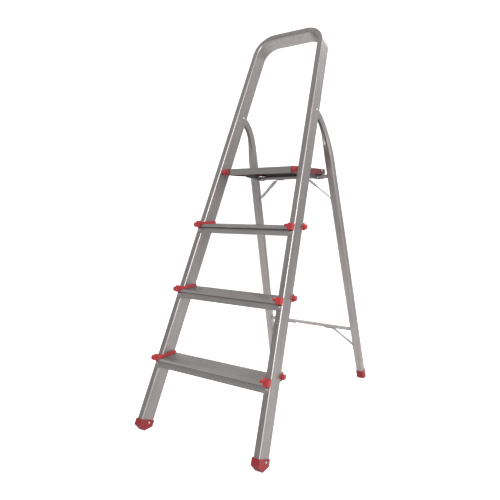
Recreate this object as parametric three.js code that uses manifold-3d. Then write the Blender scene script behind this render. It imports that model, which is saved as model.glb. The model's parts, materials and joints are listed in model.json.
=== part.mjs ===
// Platform step ladder: a leaning front frame bent from one aluminium channel, three ribbed treads and
// a hinged platform, a rear frame of two tubes that fold in behind it, and two steel links between them.
//
// Millimetres. X runs across the ladder, Y towards the rear, Z up. The origin is on the floor, at the
// middle of the space the open ladder takes up.
// Three frames hold the pieces. Inside each, Y is depth towards the rear and Z runs up the frame:
//   front group     tilted back by FRONT_LEAN, origin where the plane of the rails' front faces meets
//                   the floor, midway between the rails; the other two are placed from there
//   rear group      tilted forward by REAR_LEAN, origin on the floor between the rear feet
//   platform group  level, origin on the platform's pivot axis

import * as THREE from 'three';
import { mergeVertices } from 'three/addons/utils/BufferGeometryUtils.js';
import Module from 'manifold-3d';

const wasm = await Module();
wasm.setup();

const DEG = Math.PI / 180;
const GAP = 0.3; // clearance between neighbouring pieces
const BIG = 400; // size of blocks and drills that only cut
const INSIDE = 100; // drills that run outwards start here
const CIRCLE = 10; // sides of a small turned piece

// Front frame: one channel, open to the rear, bent into two rails and a top bow
const FRONT_LEAN = 24 * DEG;
const RAIL = { width: 21, depth: 53, wall: 1.8, corner: 3 };
const RAIL_FOOT_X = 217.7; // rail centre line at the floor
const RAIL_TAPER = 0.0627; // inward run for each millimetre up the frame
const RAIL_START = 27; // lower end of the rails, up the frame
const BOW_RADIUS = 66; // centre line of the bends
const BOW_TOP = 1447.5; // centre line of the bow's top

// Rear frame: two tubes, flattened and bent forward at the top to enter the rails
const REAR_LEAN = 16 * DEG;
const REAR_FLOOR_Y = 842.8;
const LEG = { width: 28.5, depth: 27, wall: 1.5, corner: 6 };
const LEG_FOOT_X = 206.7;
const LEG_TAPER = 0.0521;
const LEG_START = 8;
const LEG_TOP_WIDTH = 14.4; // flattened end that turns inside the rail
const LEG_BEND = { angle: 60 * DEG, beyondPivot: 12, squeezeFrom: -10, squeezeTo: 55 };

// Top pivot, inside the rails
const TOP_PIVOT = { depth: 35.5, height: 1130.5, radius: 3 };
const FOLD_ANGLE = 40 * DEG; // rear frame, from open to folded
const PLATFORM_TURN = 66 * DEG; // platform, over the same motion

// Treads: extrusions with a ribbed top, a nosing and two aprons that grip the rails
const TREAD_TOPS = [219, 429, 639];
const TREAD = { front: -13.5, rear: 66.5, skin: 1.7, plainEdge: 3, ribStart: 5, shortOfRail: 2.5 };
const RIB = { height: 0.8, width: 1.6, pitch: 5.2 };
const NOSING = { drop: 8.5, wall: 2, chamfer: 1.5 };
const APRON = { wall: 1.9, drop: 32, rearDrop: 29, corner: 10 };
const TREAD_RIVET_DROP = 19.8;

// Moulded end caps that wrap the rails at each tread
const CAP = { blockWidth: 17, reach: 27, rise: 8, blockRise: 5.5, lowRise: 2, drop: 14.7 };
const CAP_DEPTH = { front: 16, rear: 14, shortRear: 1.5, rearInset: 4 };
const NUB = { radius: 8, out: 10, root: 6, crown: 4, tip: 1.2, behindRail: 8, frontDrop: 6, rearDrop: 4 };

// Platform
const PIVOT = { y: 384, z: 818, boss: 10, pin: 4, blind: 4, headInner: 153.3, headOuter: 156, head: 7 };
const DECK = { halfWidth: 119.7, front: -5, rear: 239.5, top: 10.5, bottom: -11, rearBottom: -4, wall: 2 };
const DECK_EDGE = { plain: 4, ribFront: 7, ribRear: 6 };
const DECK_SLOT = { front: 54, rear: 97 }; // room for the links' front ends as they swing
const DECK_STIFFENER = { bottom: -1, thickness: 2, halfWidth: 100 };
const SIDE = { inner: 120, outer: 130, front: -6, rear: 240, bottom: -11.5, chamfer: 2 };
const SIDE_RISE = { front: 0.5, rear: 3.5 }; // above the deck
const SIDE_TAPER = { start: 60, end: 205, bottom: -4.6 };
const BOSS_END = 149.8;
const CATCH = { x: 130.3, wall: 1.5, front: 204, step: 215, rear: 228, top: 12, bottom: 2, hook: -4.2 };
const CATCH_RIVET = { y: 209.6, z: 7.3, length: 9 };

// Links between the platform and the rear frame
const LINK = { x: 116.5, thickness: 2.5, radius: 7.5, pin: 3, bolt: 2.9, head: 5 };
const LINK_REAR = { y: -26.8, z: 842 }; // lower pivot, in the rear frame
const LINK_FRONT_Z = -6; // upper pin, below the platform's pivot
const BRACKET = { earX: 118.2, wall: 1.6, outer: 131, boltX: 125, boltLength: 5 };

// Crossbars and braces of the rear frame
const BAR = { size: 12, wall: 1.2, corner: 2.5, intoLeg: 5 };
const LOWER_BAR_Z = 219;
const UPPER_BAR_Z = 838;
const STRIP = 1.5; // thickness of the steel strip
const LOWER_BRACE = {
  bar: LOWER_BAR_Z, width: 14, rivet: 73, bend: 103, legTop: 148, legEnd: 128, legRivet: 137,
};
const UPPER_BRACE = {
  bar: UPPER_BAR_Z, width: 12, rivet: 41, bend: 66, legTop: 756, legEnd: 736, legRivet: 745,
};
const BRACE_TAB = 7; // beyond the rivet in the crossbar

// Feet
const FRONT_FOOT = { wall: 2.2, top: 44, underRail: 1, toe: 24, tipY: 26, tipZ: 10, heel: 20, standOff: 0.2 };
const FRONT_FOOT_RIVET = { y: 34, z: 35.5, head: 3.5 };
const REAR_FOOT = { wall: 1.8, top: 36, sole: 7 };

// Rivets
const RIVET = { shank: 2, head: 4, dome: 1.8, treadLength: 8, barLength: 5, legLength: 6 };
const TOP_PIVOT_RIVET = { head: 5, standOff: 0.6 };

const SIDES = [['left', -1], ['right', 1]];

// ---------------------------------------------------------------- finishes

const ALUMINIUM = { color: 0xa8a3a1, roughness: 0.42, metalness: 0.9 };
const RIBBED = { color: 0x9a9593, roughness: 0.5, metalness: 0.85 };
const RED = { color: 0xb8262c, roughness: 0.45, metalness: 0.0 };
const ZINC = { color: 0x8b9199, roughness: 0.4, metalness: 0.95 };
const RIVET_METAL = { color: 0xb9b9b8, roughness: 0.3, metalness: 1.0 };

// ---------------------------------------------------------------- solids

function toSolid(geometry, matrix = new THREE.Matrix4()) {
  const bare = geometry.clone().applyMatrix4(matrix);
  bare.deleteAttribute('normal');
  bare.deleteAttribute('uv');
  const merged = mergeVertices(bare, 1e-3);
  return new wasm.Manifold(new wasm.Mesh({
    numProp: 3,
    vertProperties: new Float32Array(merged.attributes.position.array),
    triVerts: new Uint32Array(merged.index.array),
  }));
}

function toGeometry(solid) {
  const mesh = solid.getMesh();
  const geometry = new THREE.BufferGeometry();
  geometry.setAttribute('position', new THREE.BufferAttribute(mesh.vertProperties, 3));
  geometry.setIndex(new THREE.BufferAttribute(mesh.triVerts, 1));
  return geometry;
}

const move = (x, y, z) => new THREE.Matrix4().makeTranslation(x, y, z);
const turnX = (angle) => new THREE.Matrix4().makeRotationX(angle);
const turnY = (angle) => new THREE.Matrix4().makeRotationY(angle);

// A member that starts side * footX from the centre and leans inwards by taper as it rises
function inward(side, footX, taper) {
  const shear = new THREE.Matrix4().makeShear(0, 0, 0, 0, -side * taper, 0);
  return move(side * footX, 0, 0).multiply(shear);
}

const railFrame = (side) => inward(side, RAIL_FOOT_X, RAIL_TAPER);
const legFrame = (side) => inward(side, LEG_FOOT_X, LEG_TAPER);
const railX = (height) => RAIL_FOOT_X - RAIL_TAPER * height;
const railOuter = (height) => railX(height) + RAIL.width / 2;
const legX = (height) => LEG_FOOT_X - LEG_TAPER * height;
const legInner = (height) => legX(height) - LEG.width / 2;

function block(x0, x1, y0, y1, z0, z1) {
  const box = new THREE.BoxGeometry(Math.abs(x1 - x0), y1 - y0, z1 - z0);
  return box.translate((x0 + x1) / 2, (y0 + y1) / 2, (z0 + z1) / 2);
}

// A bar along X whose section is given as [y, z] points
function barAcross(points, x0, x1) {
  const shape = new THREE.Shape(points.map(([y, z]) => new THREE.Vector2(y, z)));
  const geometry = new THREE.ExtrudeGeometry(shape, { depth: Math.abs(x1 - x0), bevelEnabled: false });
  const axes = new THREE.Matrix4().makeBasis(
    new THREE.Vector3(0, 1, 0), new THREE.Vector3(0, 0, 1), new THREE.Vector3(1, 0, 0));
  return geometry.applyMatrix4(axes).translate(Math.min(x0, x1), 0, 0);
}

function roundedRectangle(width, height, radius, Kind = THREE.Shape) {
  const x = width / 2 - radius;
  const y = height / 2 - radius;
  const shape = new Kind();
  shape.moveTo(x + radius, -y);
  shape.absarc(x, y, radius, 0, Math.PI / 2, false);
  shape.absarc(-x, y, radius, Math.PI / 2, Math.PI, false);
  shape.absarc(-x, -y, radius, Math.PI, 1.5 * Math.PI, false);
  shape.absarc(x, -y, radius, 1.5 * Math.PI, 2 * Math.PI, false);
  return shape;
}

function tubeSection(width, height, radius, wall) {
  const shape = roundedRectangle(width, height, radius);
  shape.holes.push(roundedRectangle(width - 2 * wall, height - 2 * wall, radius - wall, THREE.Path));
  return shape;
}

// A turned piece on the X axis. The profile is [distance along X, radius], from end to end
function turned(profile, segments = CIRCLE) {
  const outline = [[profile[0][0], 0], ...profile, [profile[profile.length - 1][0], 0]];
  const points = outline.map(([along, radius]) => new THREE.Vector2(radius, along));
  return new THREE.LatheGeometry(points, segments).rotateZ(-Math.PI / 2);
}

function pinX(x0, x1, radius, segments) {
  return turned([[Math.min(x0, x1), radius], [Math.max(x0, x1), radius]], segments);
}

const pinY = (y0, y1, radius) => pinX(y0, y1, radius).rotateZ(Math.PI / 2);
const pinZ = (z0, z1, radius) => pinX(z0, z1, radius).rotateY(-Math.PI / 2);

// A drill that runs outwards on one side of the ladder
function sideDrill(side, radius, y, z, to = BIG, from = INSIDE) {
  return toSolid(pinX(side * from, side * to, radius), move(0, y, z));
}

// A path through stations of position and direction, so that sections fall exactly on the stations
class StationPath extends THREE.Curve {
  constructor(stations) {
    super();
    this.stations = stations;
    this.steps = stations.length - 1;
  }

  blend(t, key, target) {
    const place = Math.min(Math.max(t, 0), 1) * this.steps;
    const first = Math.min(Math.floor(place + 1e-6), this.steps - 1);
    return target.copy(this.stations[first][key]).lerp(this.stations[first + 1][key], place - first);
  }

  getPoint(t, target = new THREE.Vector3()) {
    return this.blend(t, 'position', target);
  }

  getPointAt(t, target) {
    return this.getPoint(t, target);
  }

  getTangent(t, target = new THREE.Vector3()) {
    return this.blend(t, 'direction', target).normalize();
  }

  getTangentAt(t, target) {
    return this.getTangent(t, target);
  }
}

function extrudeAlong(shape, stations, curveSegments) {
  const path = new StationPath(stations);
  return new THREE.ExtrudeGeometry(shape, { steps: path.steps, curveSegments, extrudePath: path });
}

function station(position, direction) {
  return { position: new THREE.Vector3(...position), direction: new THREE.Vector3(...direction).normalize() };
}

// ---------------------------------------------------------------- rivets

// Domed rivet on the X axis: its head stands at x = 0 and its shank runs to +length
function rivet(length, shank = RIVET.shank, head = RIVET.head) {
  return turned([[-RIVET.dome, head / 2], [0, head], [0, shank], [length, shank]]);
}

// The same with a formed tail, so that it grips what lies between
function clinched(length, shank, head) {
  return turned([
    [-RIVET.dome, head / 2], [0, head], [0, shank],
    [length, shank], [length, head], [length + RIVET.dome, head / 2],
  ]);
}

// ---------------------------------------------------------------- front frame

function railStations() {
  const tilt = Math.atan(RAIL_TAPER);
  const centreZ = BOW_TOP - BOW_RADIUS;
  // the bend starts where the leaning rail is tangent to the arc
  const centreX = railX(centreZ + BOW_RADIUS * Math.sin(tilt)) - BOW_RADIUS * Math.cos(tilt);
  const stations = [station([railX(RAIL_START), 0, RAIL_START], [-RAIL_TAPER, 0, 1])];
  const segments = 8;
  for (const side of [1, -1]) {
    for (let i = 0; i <= segments; i += 1) {
      const sweep = tilt + (Math.PI / 2 - tilt) * (i / segments);
      const angle = side > 0 ? sweep : Math.PI - (tilt + Math.PI / 2 - sweep);
      const position = [
        side * centreX + BOW_RADIUS * Math.cos(angle), 0, centreZ + BOW_RADIUS * Math.sin(angle)];
      stations.push(station(position, [-Math.sin(angle), 0, Math.cos(angle)]));
    }
  }
  stations.push(station([-railX(RAIL_START), 0, RAIL_START], [-RAIL_TAPER, 0, -1]));
  return stations;
}

// The channel's section: X is minus the depth and Y points out of the bow
function channelSection() {
  const half = RAIL.width / 2;
  const r = RAIL.corner;
  const w = RAIL.wall;
  const inner = r - w;
  const shape = new THREE.Shape();
  shape.moveTo(-RAIL.depth, -half);
  shape.lineTo(-r, -half);
  shape.absarc(-r, -half + r, r, -Math.PI / 2, 0, false);
  shape.absarc(-r, half - r, r, 0, Math.PI / 2, false);
  shape.lineTo(-RAIL.depth, half);
  shape.lineTo(-RAIL.depth, half - w);
  shape.absarc(-r, half - r, inner, Math.PI / 2, 0, true);
  shape.absarc(-r, -half + r, inner, 0, -Math.PI / 2, true);
  shape.lineTo(-RAIL.depth, -half + w);
  return shape;
}

function treadHeight(top) {
  return top / Math.cos(FRONT_LEAN);
}

function frontFrame() {
  let solid = toSolid(extrudeAlong(channelSection(), railStations(), 3));
  const [pivotY, pivotZ] = frontPlace(PIVOT.y, PIVOT.z);
  for (const [, side] of SIDES) {
    solid = solid
      .subtract(sideDrill(side, RIVET.shank + GAP, FRONT_FOOT_RIVET.y, FRONT_FOOT_RIVET.z))
      .subtract(sideDrill(side, TOP_PIVOT.radius + GAP, TOP_PIVOT.depth, TOP_PIVOT.height))
      .subtract(sideDrill(side, PIVOT.pin + GAP, pivotY, pivotZ, railX(pivotZ)));
    for (const top of TREAD_TOPS) {
      const height = treadHeight(top) - TREAD_RIVET_DROP;
      solid = solid.subtract(toSolid(frontDrill(), move(side * railX(height), 0, height)));
    }
  }
  return toGeometry(solid);
}

// A drill through the front of a rail
const frontDrill = () => pinY(-RAIL.width / 2, RAIL.width / 2, RIVET.shank + GAP);

// Depth and height up the frame of a point given in ladder coordinates
function frontPlace(y, z) {
  const c = Math.cos(FRONT_LEAN);
  const s = Math.sin(FRONT_LEAN);
  return [y * c - z * s, y * s + z * c];
}

// ---------------------------------------------------------------- treads

// Level tread coordinates of a point at a depth and a height measured in the front frame
function levelPoint(depth, height) {
  const c = Math.cos(FRONT_LEAN);
  const s = Math.sin(FRONT_LEAN);
  return [depth * c + height * s, -depth * s + height * c];
}

// The level point on the line depth = constant at level z
function levelOnDepth(depth, z) {
  return [depth / Math.cos(FRONT_LEAN) + z * Math.tan(FRONT_LEAN), z];
}

// Ribs along the top, as [y, z] points from front to rear
function ribPoints(front, rear, top) {
  const points = [];
  for (let y = front; y + RIB.width <= rear; y += RIB.pitch) {
    points.push([y, top - RIB.height], [y, top], [y + RIB.width, top], [y + RIB.width, top - RIB.height]);
  }
  return points;
}

function treadSection() {
  const under = -RIB.height - TREAD.skin;
  const inFront = -GAP;
  const behind = RAIL.depth + GAP;
  const rearHeight = (-APRON.rearDrop + behind * Math.sin(FRONT_LEAN)) / Math.cos(FRONT_LEAN);
  const top = [
    [TREAD.front, -NOSING.drop], [TREAD.front, -NOSING.chamfer], [TREAD.front + NOSING.chamfer, 0],
    [TREAD.front + TREAD.plainEdge, 0],
    ...ribPoints(TREAD.front + TREAD.ribStart, TREAD.rear - TREAD.ribStart, 0),
    [TREAD.rear - TREAD.plainEdge, 0],
    [TREAD.rear - NOSING.chamfer, 0], [TREAD.rear, -NOSING.chamfer], [TREAD.rear, -NOSING.drop],
  ];
  const bottom = [
    [TREAD.rear - NOSING.wall, -NOSING.drop], [TREAD.rear - NOSING.wall, under],
    levelOnDepth(behind + APRON.wall, under), levelPoint(behind + APRON.wall, rearHeight),
    levelPoint(behind, rearHeight), levelOnDepth(behind, under),
    levelOnDepth(inFront, under), levelPoint(inFront, -APRON.drop),
    levelPoint(inFront - APRON.wall, -APRON.drop), levelOnDepth(inFront - APRON.wall, under),
    [TREAD.front + NOSING.wall, under], [TREAD.front + NOSING.wall, -NOSING.drop],
  ];
  return [...top, ...bottom].reverse();
}

// What rounds off the front apron's lower corner
function apronCorner(side, half, height) {
  const r = APRON.corner;
  const low = height - APRON.drop;
  const shape = new THREE.Shape();
  shape.moveTo(side * (half + 1), low - 1);
  shape.lineTo(side * (half + 1), low + r);
  for (let turn = 0; turn <= 90 * DEG; turn += 22.5 * DEG) {
    shape.lineTo(side * (half - r + r * Math.cos(turn)), low + r - r * Math.sin(turn));
  }
  shape.lineTo(side * (half - r), low - 1);
  const cut = new THREE.ExtrudeGeometry(shape, { depth: 2 * APRON.wall, bevelEnabled: false });
  return toSolid(cut.rotateX(Math.PI / 2));
}

// From level coordinates at a tread's top to the front frame
const treadFrame = (height) => move(0, 0, height).multiply(turnX(FRONT_LEAN));

// What the rail takes up, with clearance, and everything outside it
function railEnvelope(side, clearance) {
  const box = block(
    side * (-RAIL.width / 2 - clearance), side * BIG, -clearance, RAIL.depth + clearance, -BIG, 4 * BIG);
  return toSolid(box, railFrame(side));
}

function tread(top) {
  const height = treadHeight(top);
  const half = railOuter(height) - TREAD.shortOfRail;
  let solid = toSolid(barAcross(treadSection(), -half, half), treadFrame(height));
  for (const [, side] of SIDES) {
    const noseEnd = railOuter(height) - CAP.blockWidth - GAP;
    const beyond = block(side * noseEnd, side * BIG, -BIG, BIG, height - CAP.drop - GAP, height + BIG);
    const rivetHeight = height - TREAD_RIVET_DROP;
    solid = solid
      .subtract(railEnvelope(side, GAP))
      .subtract(toSolid(beyond))
      .subtract(apronCorner(side, half, height))
      .subtract(toSolid(frontDrill(), move(side * railX(rivetHeight), 0, rivetHeight)));
  }
  return toGeometry(solid);
}

// A round nub that stands out sideways from a cap
function nub(side) {
  const { radius, out, root, crown, tip } = NUB;
  const profile = [[-root, radius], [out - crown, radius], [out - tip, radius - tip], [out, radius / 2]];
  const shape = turned(profile, 1.5 * CIRCLE);
  return side > 0 ? shape : shape.applyMatrix4(turnY(Math.PI));
}

// Collar above the tread, a block at its front and rear edge, and a nub on one of the two. A cap with its
// nub in front is low behind the rail.
function treadCap(top, side, nubInFront) {
  const height = treadHeight(top);
  const outer = railOuter(height);
  const level = treadFrame(height);
  const inner = outer - CAP.reach;
  const blockInner = outer - CAP.blockWidth;
  const behindRail = (distance) => levelOnDepth(RAIL.depth + distance, 0)[0];
  const frontEnd = levelOnDepth(-CAP_DEPTH.front, 0)[0];
  const collarEnd = behindRail(nubInFront ? CAP_DEPTH.shortRear : CAP_DEPTH.rear);
  const rearRise = nubInFront ? CAP.lowRise : CAP.rise;
  const collar = block(side * inner, side * outer, frontEnd, collarEnd, GAP, CAP.rise);
  const front = block(
    side * blockInner, side * outer, -CAP_DEPTH.front, -GAP, height - CAP.drop, height + CAP.blockRise);
  const rear = block(
    side * blockInner, side * outer, behindRail(-CAP_DEPTH.rearInset), behindRail(CAP_DEPTH.rear),
    -CAP.drop, rearRise);
  let solid = toSolid(collar, level).add(toSolid(front)).add(toSolid(rear, level));
  solid = solid.subtract(railEnvelope(side, GAP));
  // the outer face follows the rail's
  solid = solid.subtract(toSolid(
    block(side * RAIL.width / 2, side * BIG, -BIG, BIG, -BIG, 4 * BIG), railFrame(side)));
  const nubDepth = nubInFront ? -NUB.radius - GAP : RAIL.depth + NUB.behindRail;
  const nubHeight = nubInFront
    ? height - NUB.frontDrop
    : height + nubDepth * Math.tan(FRONT_LEAN) - NUB.rearDrop;
  solid = solid.add(toSolid(nub(side), move(side * railOuter(nubHeight), nubDepth, nubHeight)));
  return toGeometry(solid.subtract(railEnvelope(side, GAP)));
}

// ---------------------------------------------------------------- feet

// Rubber shoe around the end of a rail, with a chamfered toe and a level sole
function frontFoot(side) {
  const w = FRONT_FOOT.wall;
  const half = RAIL.width / 2 + w;
  const { top, toe, tipY, tipZ, heel } = FRONT_FOOT;
  const outline = [[-w, top], [-w, toe], [tipY, tipZ], [RAIL.depth + w, heel], [RAIL.depth + w, top]];
  const shoe = toSolid(barAcross(outline, -half, half), railFrame(side));
  const socket = block(
    -RAIL.width / 2 - GAP, RAIL.width / 2 + GAP, -GAP, RAIL.depth + GAP,
    RAIL_START - FRONT_FOOT.underRail, 2 * top);
  const ground = toSolid(block(-BIG, BIG, -BIG, BIG, -BIG, 0), turnX(FRONT_LEAN));
  return toGeometry(shoe
    .subtract(toSolid(socket, railFrame(side)))
    .subtract(ground)
    .subtract(sideDrill(side, RIVET.shank + GAP, FRONT_FOOT_RIVET.y, FRONT_FOOT_RIVET.z)));
}

function rearFoot(side) {
  const w = REAR_FOOT.wall;
  const shoe = roundedRectangle(LEG.width + 2 * w, LEG.depth + 2 * w, LEG.corner + w);
  const socket = roundedRectangle(LEG.width + 2 * GAP, LEG.depth + 2 * GAP, LEG.corner + GAP);
  const rise = (shape, z0, z1) => new THREE.ExtrudeGeometry(
    shape, { depth: z1 - z0, bevelEnabled: false, curveSegments: 3 }).translate(0, 0, z0);
  const ground = toSolid(block(-BIG, BIG, -BIG, BIG, -BIG, 0), turnX(-REAR_LEAN));
  return toGeometry(toSolid(rise(shoe, -REAR_FOOT.top, REAR_FOOT.top), legFrame(side))
    .subtract(toSolid(rise(socket, REAR_FOOT.sole, BIG), legFrame(side)))
    .subtract(ground));
}

// ---------------------------------------------------------------- rear frame

// The top pivot's place in the rear frame
function rearPivot() {
  const c = Math.cos(FRONT_LEAN);
  const s = Math.sin(FRONT_LEAN);
  const y = TOP_PIVOT.depth * c + TOP_PIVOT.height * s;
  const z = -TOP_PIVOT.depth * s + TOP_PIVOT.height * c;
  return rearPlace(y, z);
}

function rearPlace(y, z) {
  const c = Math.cos(REAR_LEAN);
  const s = Math.sin(REAR_LEAN);
  return [(y - REAR_FLOOR_Y) * c + z * s, -(y - REAR_FLOOR_Y) * s + z * c];
}

// Straight up from the floor, then an arc that ends on the pivot, then a short straight end
function legStations() {
  const [pivotY, pivotZ] = rearPivot();
  const { angle, beyondPivot } = LEG_BEND;
  const radius = -pivotY / (1 - Math.cos(angle));
  const bendZ = pivotZ - radius * Math.sin(angle);
  const stations = [station([0, 0, LEG_START], [0, 0, 1])];
  const segments = 8;
  for (let i = 0; i <= segments; i += 1) {
    const turn = angle * (i / segments);
    const position = [0, -radius * (1 - Math.cos(turn)), bendZ + radius * Math.sin(turn)];
    stations.push(station(position, [0, -Math.sin(turn), Math.cos(turn)]));
  }
  const end = [0, pivotY - beyondPivot * Math.sin(angle), pivotZ + beyondPivot * Math.cos(angle)];
  stations.push(station(end, [0, -Math.sin(angle), Math.cos(angle)]));
  return { stations, bendZ };
}

// The bend is squeezed from the tube's width to LEG_TOP_WIDTH and drawn in line with the rail
function flattenTop(geometry, bendZ, side) {
  const [, pivotZ] = rearPivot();
  const position = geometry.attributes.position;
  const drift = railX(TOP_PIVOT.height) - legX(pivotZ);
  for (let i = 0; i < position.count; i += 1) {
    const rise = THREE.MathUtils.smoothstep(
      position.getZ(i), bendZ + LEG_BEND.squeezeFrom, bendZ + LEG_BEND.squeezeTo);
    const squeeze = 1 - rise * (1 - LEG_TOP_WIDTH / LEG.width);
    position.setX(i, position.getX(i) * squeeze + side * drift * rise);
  }
  return geometry;
}

function rearLeg(side) {
  const { stations, bendZ } = legStations();
  const section = tubeSection(LEG.depth, LEG.width, LEG.corner, LEG.wall);
  const tube = flattenTop(extrudeAlong(section, stations, 3), bendZ, side);
  const [pivotY, pivotZ] = rearPivot();
  let solid = toSolid(tube, legFrame(side)).subtract(
    sideDrill(side, TOP_PIVOT.radius + GAP, pivotY, pivotZ));
  for (const { bar, legRivet } of [LOWER_BRACE, UPPER_BRACE]) {
    const reach = BAR.size / 2 + GAP;
    const end = legInner(bar) + BAR.intoLeg + GAP;
    solid = solid
      .subtract(toSolid(block(side * INSIDE, side * end, -reach, reach, bar - reach, bar + reach)))
      .subtract(sideDrill(side, RIVET.shank + GAP, 0, legRivet, legX(legRivet)));
  }
  return toGeometry(solid);
}

function crossbar(brace) {
  const half = legInner(brace.bar) + BAR.intoLeg;
  const shape = tubeSection(BAR.size, BAR.size, BAR.corner, BAR.wall);
  const tube = new THREE.ExtrudeGeometry(shape, { depth: 2 * half, bevelEnabled: false, curveSegments: 2 });
  const drill = pinZ(brace.bar - BAR.size, brace.bar, RIVET.shank + GAP);
  const places = brace === UPPER_BRACE ? [brace.rivet, BRACKET.boltX] : [brace.rivet];
  let solid = toSolid(tube.translate(0, 0, -half).rotateY(Math.PI / 2).translate(0, 0, brace.bar));
  for (const [, side] of SIDES) {
    for (const x of places) solid = solid.subtract(toSolid(drill, move(side * x, 0, 0)));
  }
  return toGeometry(solid);
}

// The two edges of a strip of even thickness that follows a line of [x, z] points
function stripOutline(points, thickness) {
  const offset = points.map((point, i) => {
    const before = points[Math.max(i - 1, 0)];
    const after = points[Math.min(i + 1, points.length - 1)];
    const into = new THREE.Vector2(point[0] - before[0], point[1] - before[1]).normalize();
    const out = new THREE.Vector2(after[0] - point[0], after[1] - point[1]).normalize();
    const mean = into.add(out).normalize();
    const turn = i > 0 && i < points.length - 1 ? Math.abs(mean.dot(out)) : 1;
    return [point[0] - (mean.y * thickness) / turn, point[1] + (mean.x * thickness) / turn];
  });
  return [...points, ...offset.reverse()];
}

// Steel strip: a tab under the crossbar, a diagonal, and a tab down the inside of the leg
function brace(spec, side) {
  const barFace = spec.bar - BAR.size / 2 - GAP;
  const legFace = (z) => legInner(z) - GAP;
  const line = [
    [spec.rivet - BRACE_TAB, barFace - STRIP], [spec.bend, barFace - STRIP],
    [legFace(spec.legTop) - STRIP, spec.legTop], [legFace(spec.legEnd) - STRIP, spec.legEnd]];
  const shape = new THREE.Shape(stripOutline(line, STRIP).map(([x, z]) => new THREE.Vector2(x, z)));
  const strip = new THREE.ExtrudeGeometry(shape, { depth: spec.width, bevelEnabled: false });
  strip.translate(0, 0, -spec.width / 2).rotateX(Math.PI / 2);
  if (side < 0) strip.rotateZ(Math.PI);
  const drill = pinZ(barFace - 2 * STRIP, barFace + STRIP, RIVET.shank + GAP);
  return toGeometry(toSolid(strip)
    .subtract(toSolid(drill, move(side * spec.rivet, 0, 0)))
    .subtract(sideDrill(side, RIVET.shank + GAP, 0, spec.legRivet)));
}

// ---------------------------------------------------------------- platform

function deckSection() {
  const { front, rear, top, bottom, rearBottom, wall } = DECK;
  const { plain, ribFront, ribRear } = DECK_EDGE;
  const under = top - RIB.height - TREAD.skin;
  return [
    [front, bottom], [front, top - NOSING.chamfer], [front + NOSING.chamfer, top], [front + plain, top],
    ...ribPoints(front + ribFront, rear - ribRear, top), [rear - plain, top], [rear - NOSING.chamfer, top],
    [rear, top - NOSING.chamfer], [rear, rearBottom], [rear - wall, rearBottom], [rear - wall, under],
    [front + wall, under], [front + wall, bottom],
  ].reverse();
}

function deck() {
  let solid = toSolid(barAcross(deckSection(), -DECK.halfWidth, DECK.halfWidth));
  const under = DECK.top - RIB.height - TREAD.skin / 2;
  const { bottom, thickness, halfWidth } = DECK_STIFFENER;
  for (const share of [1 / 3, 2 / 3]) {
    const y = THREE.MathUtils.lerp(DECK.front, DECK.rear, share);
    solid = solid.add(toSolid(block(-halfWidth, halfWidth, y, y + thickness, bottom, under)));
  }
  const slotX = LINK.x - LINK.thickness / 2 - GAP;
  for (const [, side] of SIDES) {
    const slot = block(side * slotX, side * BIG, DECK_SLOT.front, DECK_SLOT.rear, bottom, BIG);
    solid = solid.subtract(toSolid(slot));
  }
  return toGeometry(solid);
}

// Moulded side of the platform, with the round boss it turns on
function platformSide(side) {
  const { front, rear, bottom, chamfer } = SIDE;
  const top = DECK.top + SIDE_RISE.front;
  const rearTop = DECK.top + SIDE_RISE.rear;
  const outline = [
    [front, bottom], [SIDE_TAPER.start, bottom], [SIDE_TAPER.end, SIDE_TAPER.bottom],
    [rear, SIDE_TAPER.bottom],
    [rear, rearTop - chamfer], [rear - chamfer, rearTop], [front + chamfer, top], [front, top - chamfer]];
  const [linkY, linkZ] = linkPin();
  const plate = toSolid(barAcross(outline, side * SIDE.inner, side * SIDE.outer));
  const middle = (SIDE.inner + SIDE.outer) / 2;
  const boss = toSolid(pinX(side * middle, side * BOSS_END, PIVOT.boss, 2 * CIRCLE));
  return toGeometry(plate
    .add(boss)
    .subtract(sideDrill(side, PIVOT.pin + GAP, 0, 0, BIG, SIDE.inner + PIVOT.blind))
    .subtract(sideDrill(side, LINK.pin + GAP, linkY, linkZ))
    .subtract(sideDrill(side, RIVET.shank + GAP, CATCH_RIVET.y, CATCH_RIVET.z)));
}

// Steel hook plate at the platform's rear corner
function platformCatch(side) {
  const { front, step, rear, top, bottom, hook } = CATCH;
  const outline = [[front, bottom], [step, bottom], [step, hook], [rear, hook], [rear, top], [front, top]];
  const plate = toSolid(barAcross(outline, side * CATCH.x, side * (CATCH.x + CATCH.wall)));
  return toGeometry(plate.subtract(sideDrill(side, RIVET.shank + GAP, CATCH_RIVET.y, CATCH_RIVET.z)));
}

// ---------------------------------------------------------------- links

// The upper pin's place on the platform: there the link is as long folded as it is open
function linkPin() {
  const turn = (y, z, angle) => [
    y * Math.cos(angle) - z * Math.sin(angle), y * Math.sin(angle) + z * Math.cos(angle)];
  const [pivotY, pivotZ] = rearPivot();
  const [openY, openZ] = linkRear();
  // the lower pivot once folded, and the same seen from the turned platform
  const swing = turn(LINK_REAR.y - pivotY, LINK_REAR.z - pivotZ, REAR_LEAN - FOLD_ANGLE);
  const c = Math.cos(FRONT_LEAN);
  const s = Math.sin(FRONT_LEAN);
  const topY = TOP_PIVOT.depth * c + TOP_PIVOT.height * s - PIVOT.y;
  const topZ = -TOP_PIVOT.depth * s + TOP_PIVOT.height * c - PIVOT.z;
  const foldedY = topY + swing[0];
  const foldedZ = topZ + swing[1];
  const seen = turn(foldedY, foldedZ, -PLATFORM_TURN);
  const constant = (foldedY ** 2 + foldedZ ** 2 - openY ** 2 - openZ ** 2) / 2;
  const y = (constant - LINK_FRONT_Z * (seen[1] - openZ)) / (seen[0] - openY);
  return [y, LINK_FRONT_Z];
}

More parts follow.
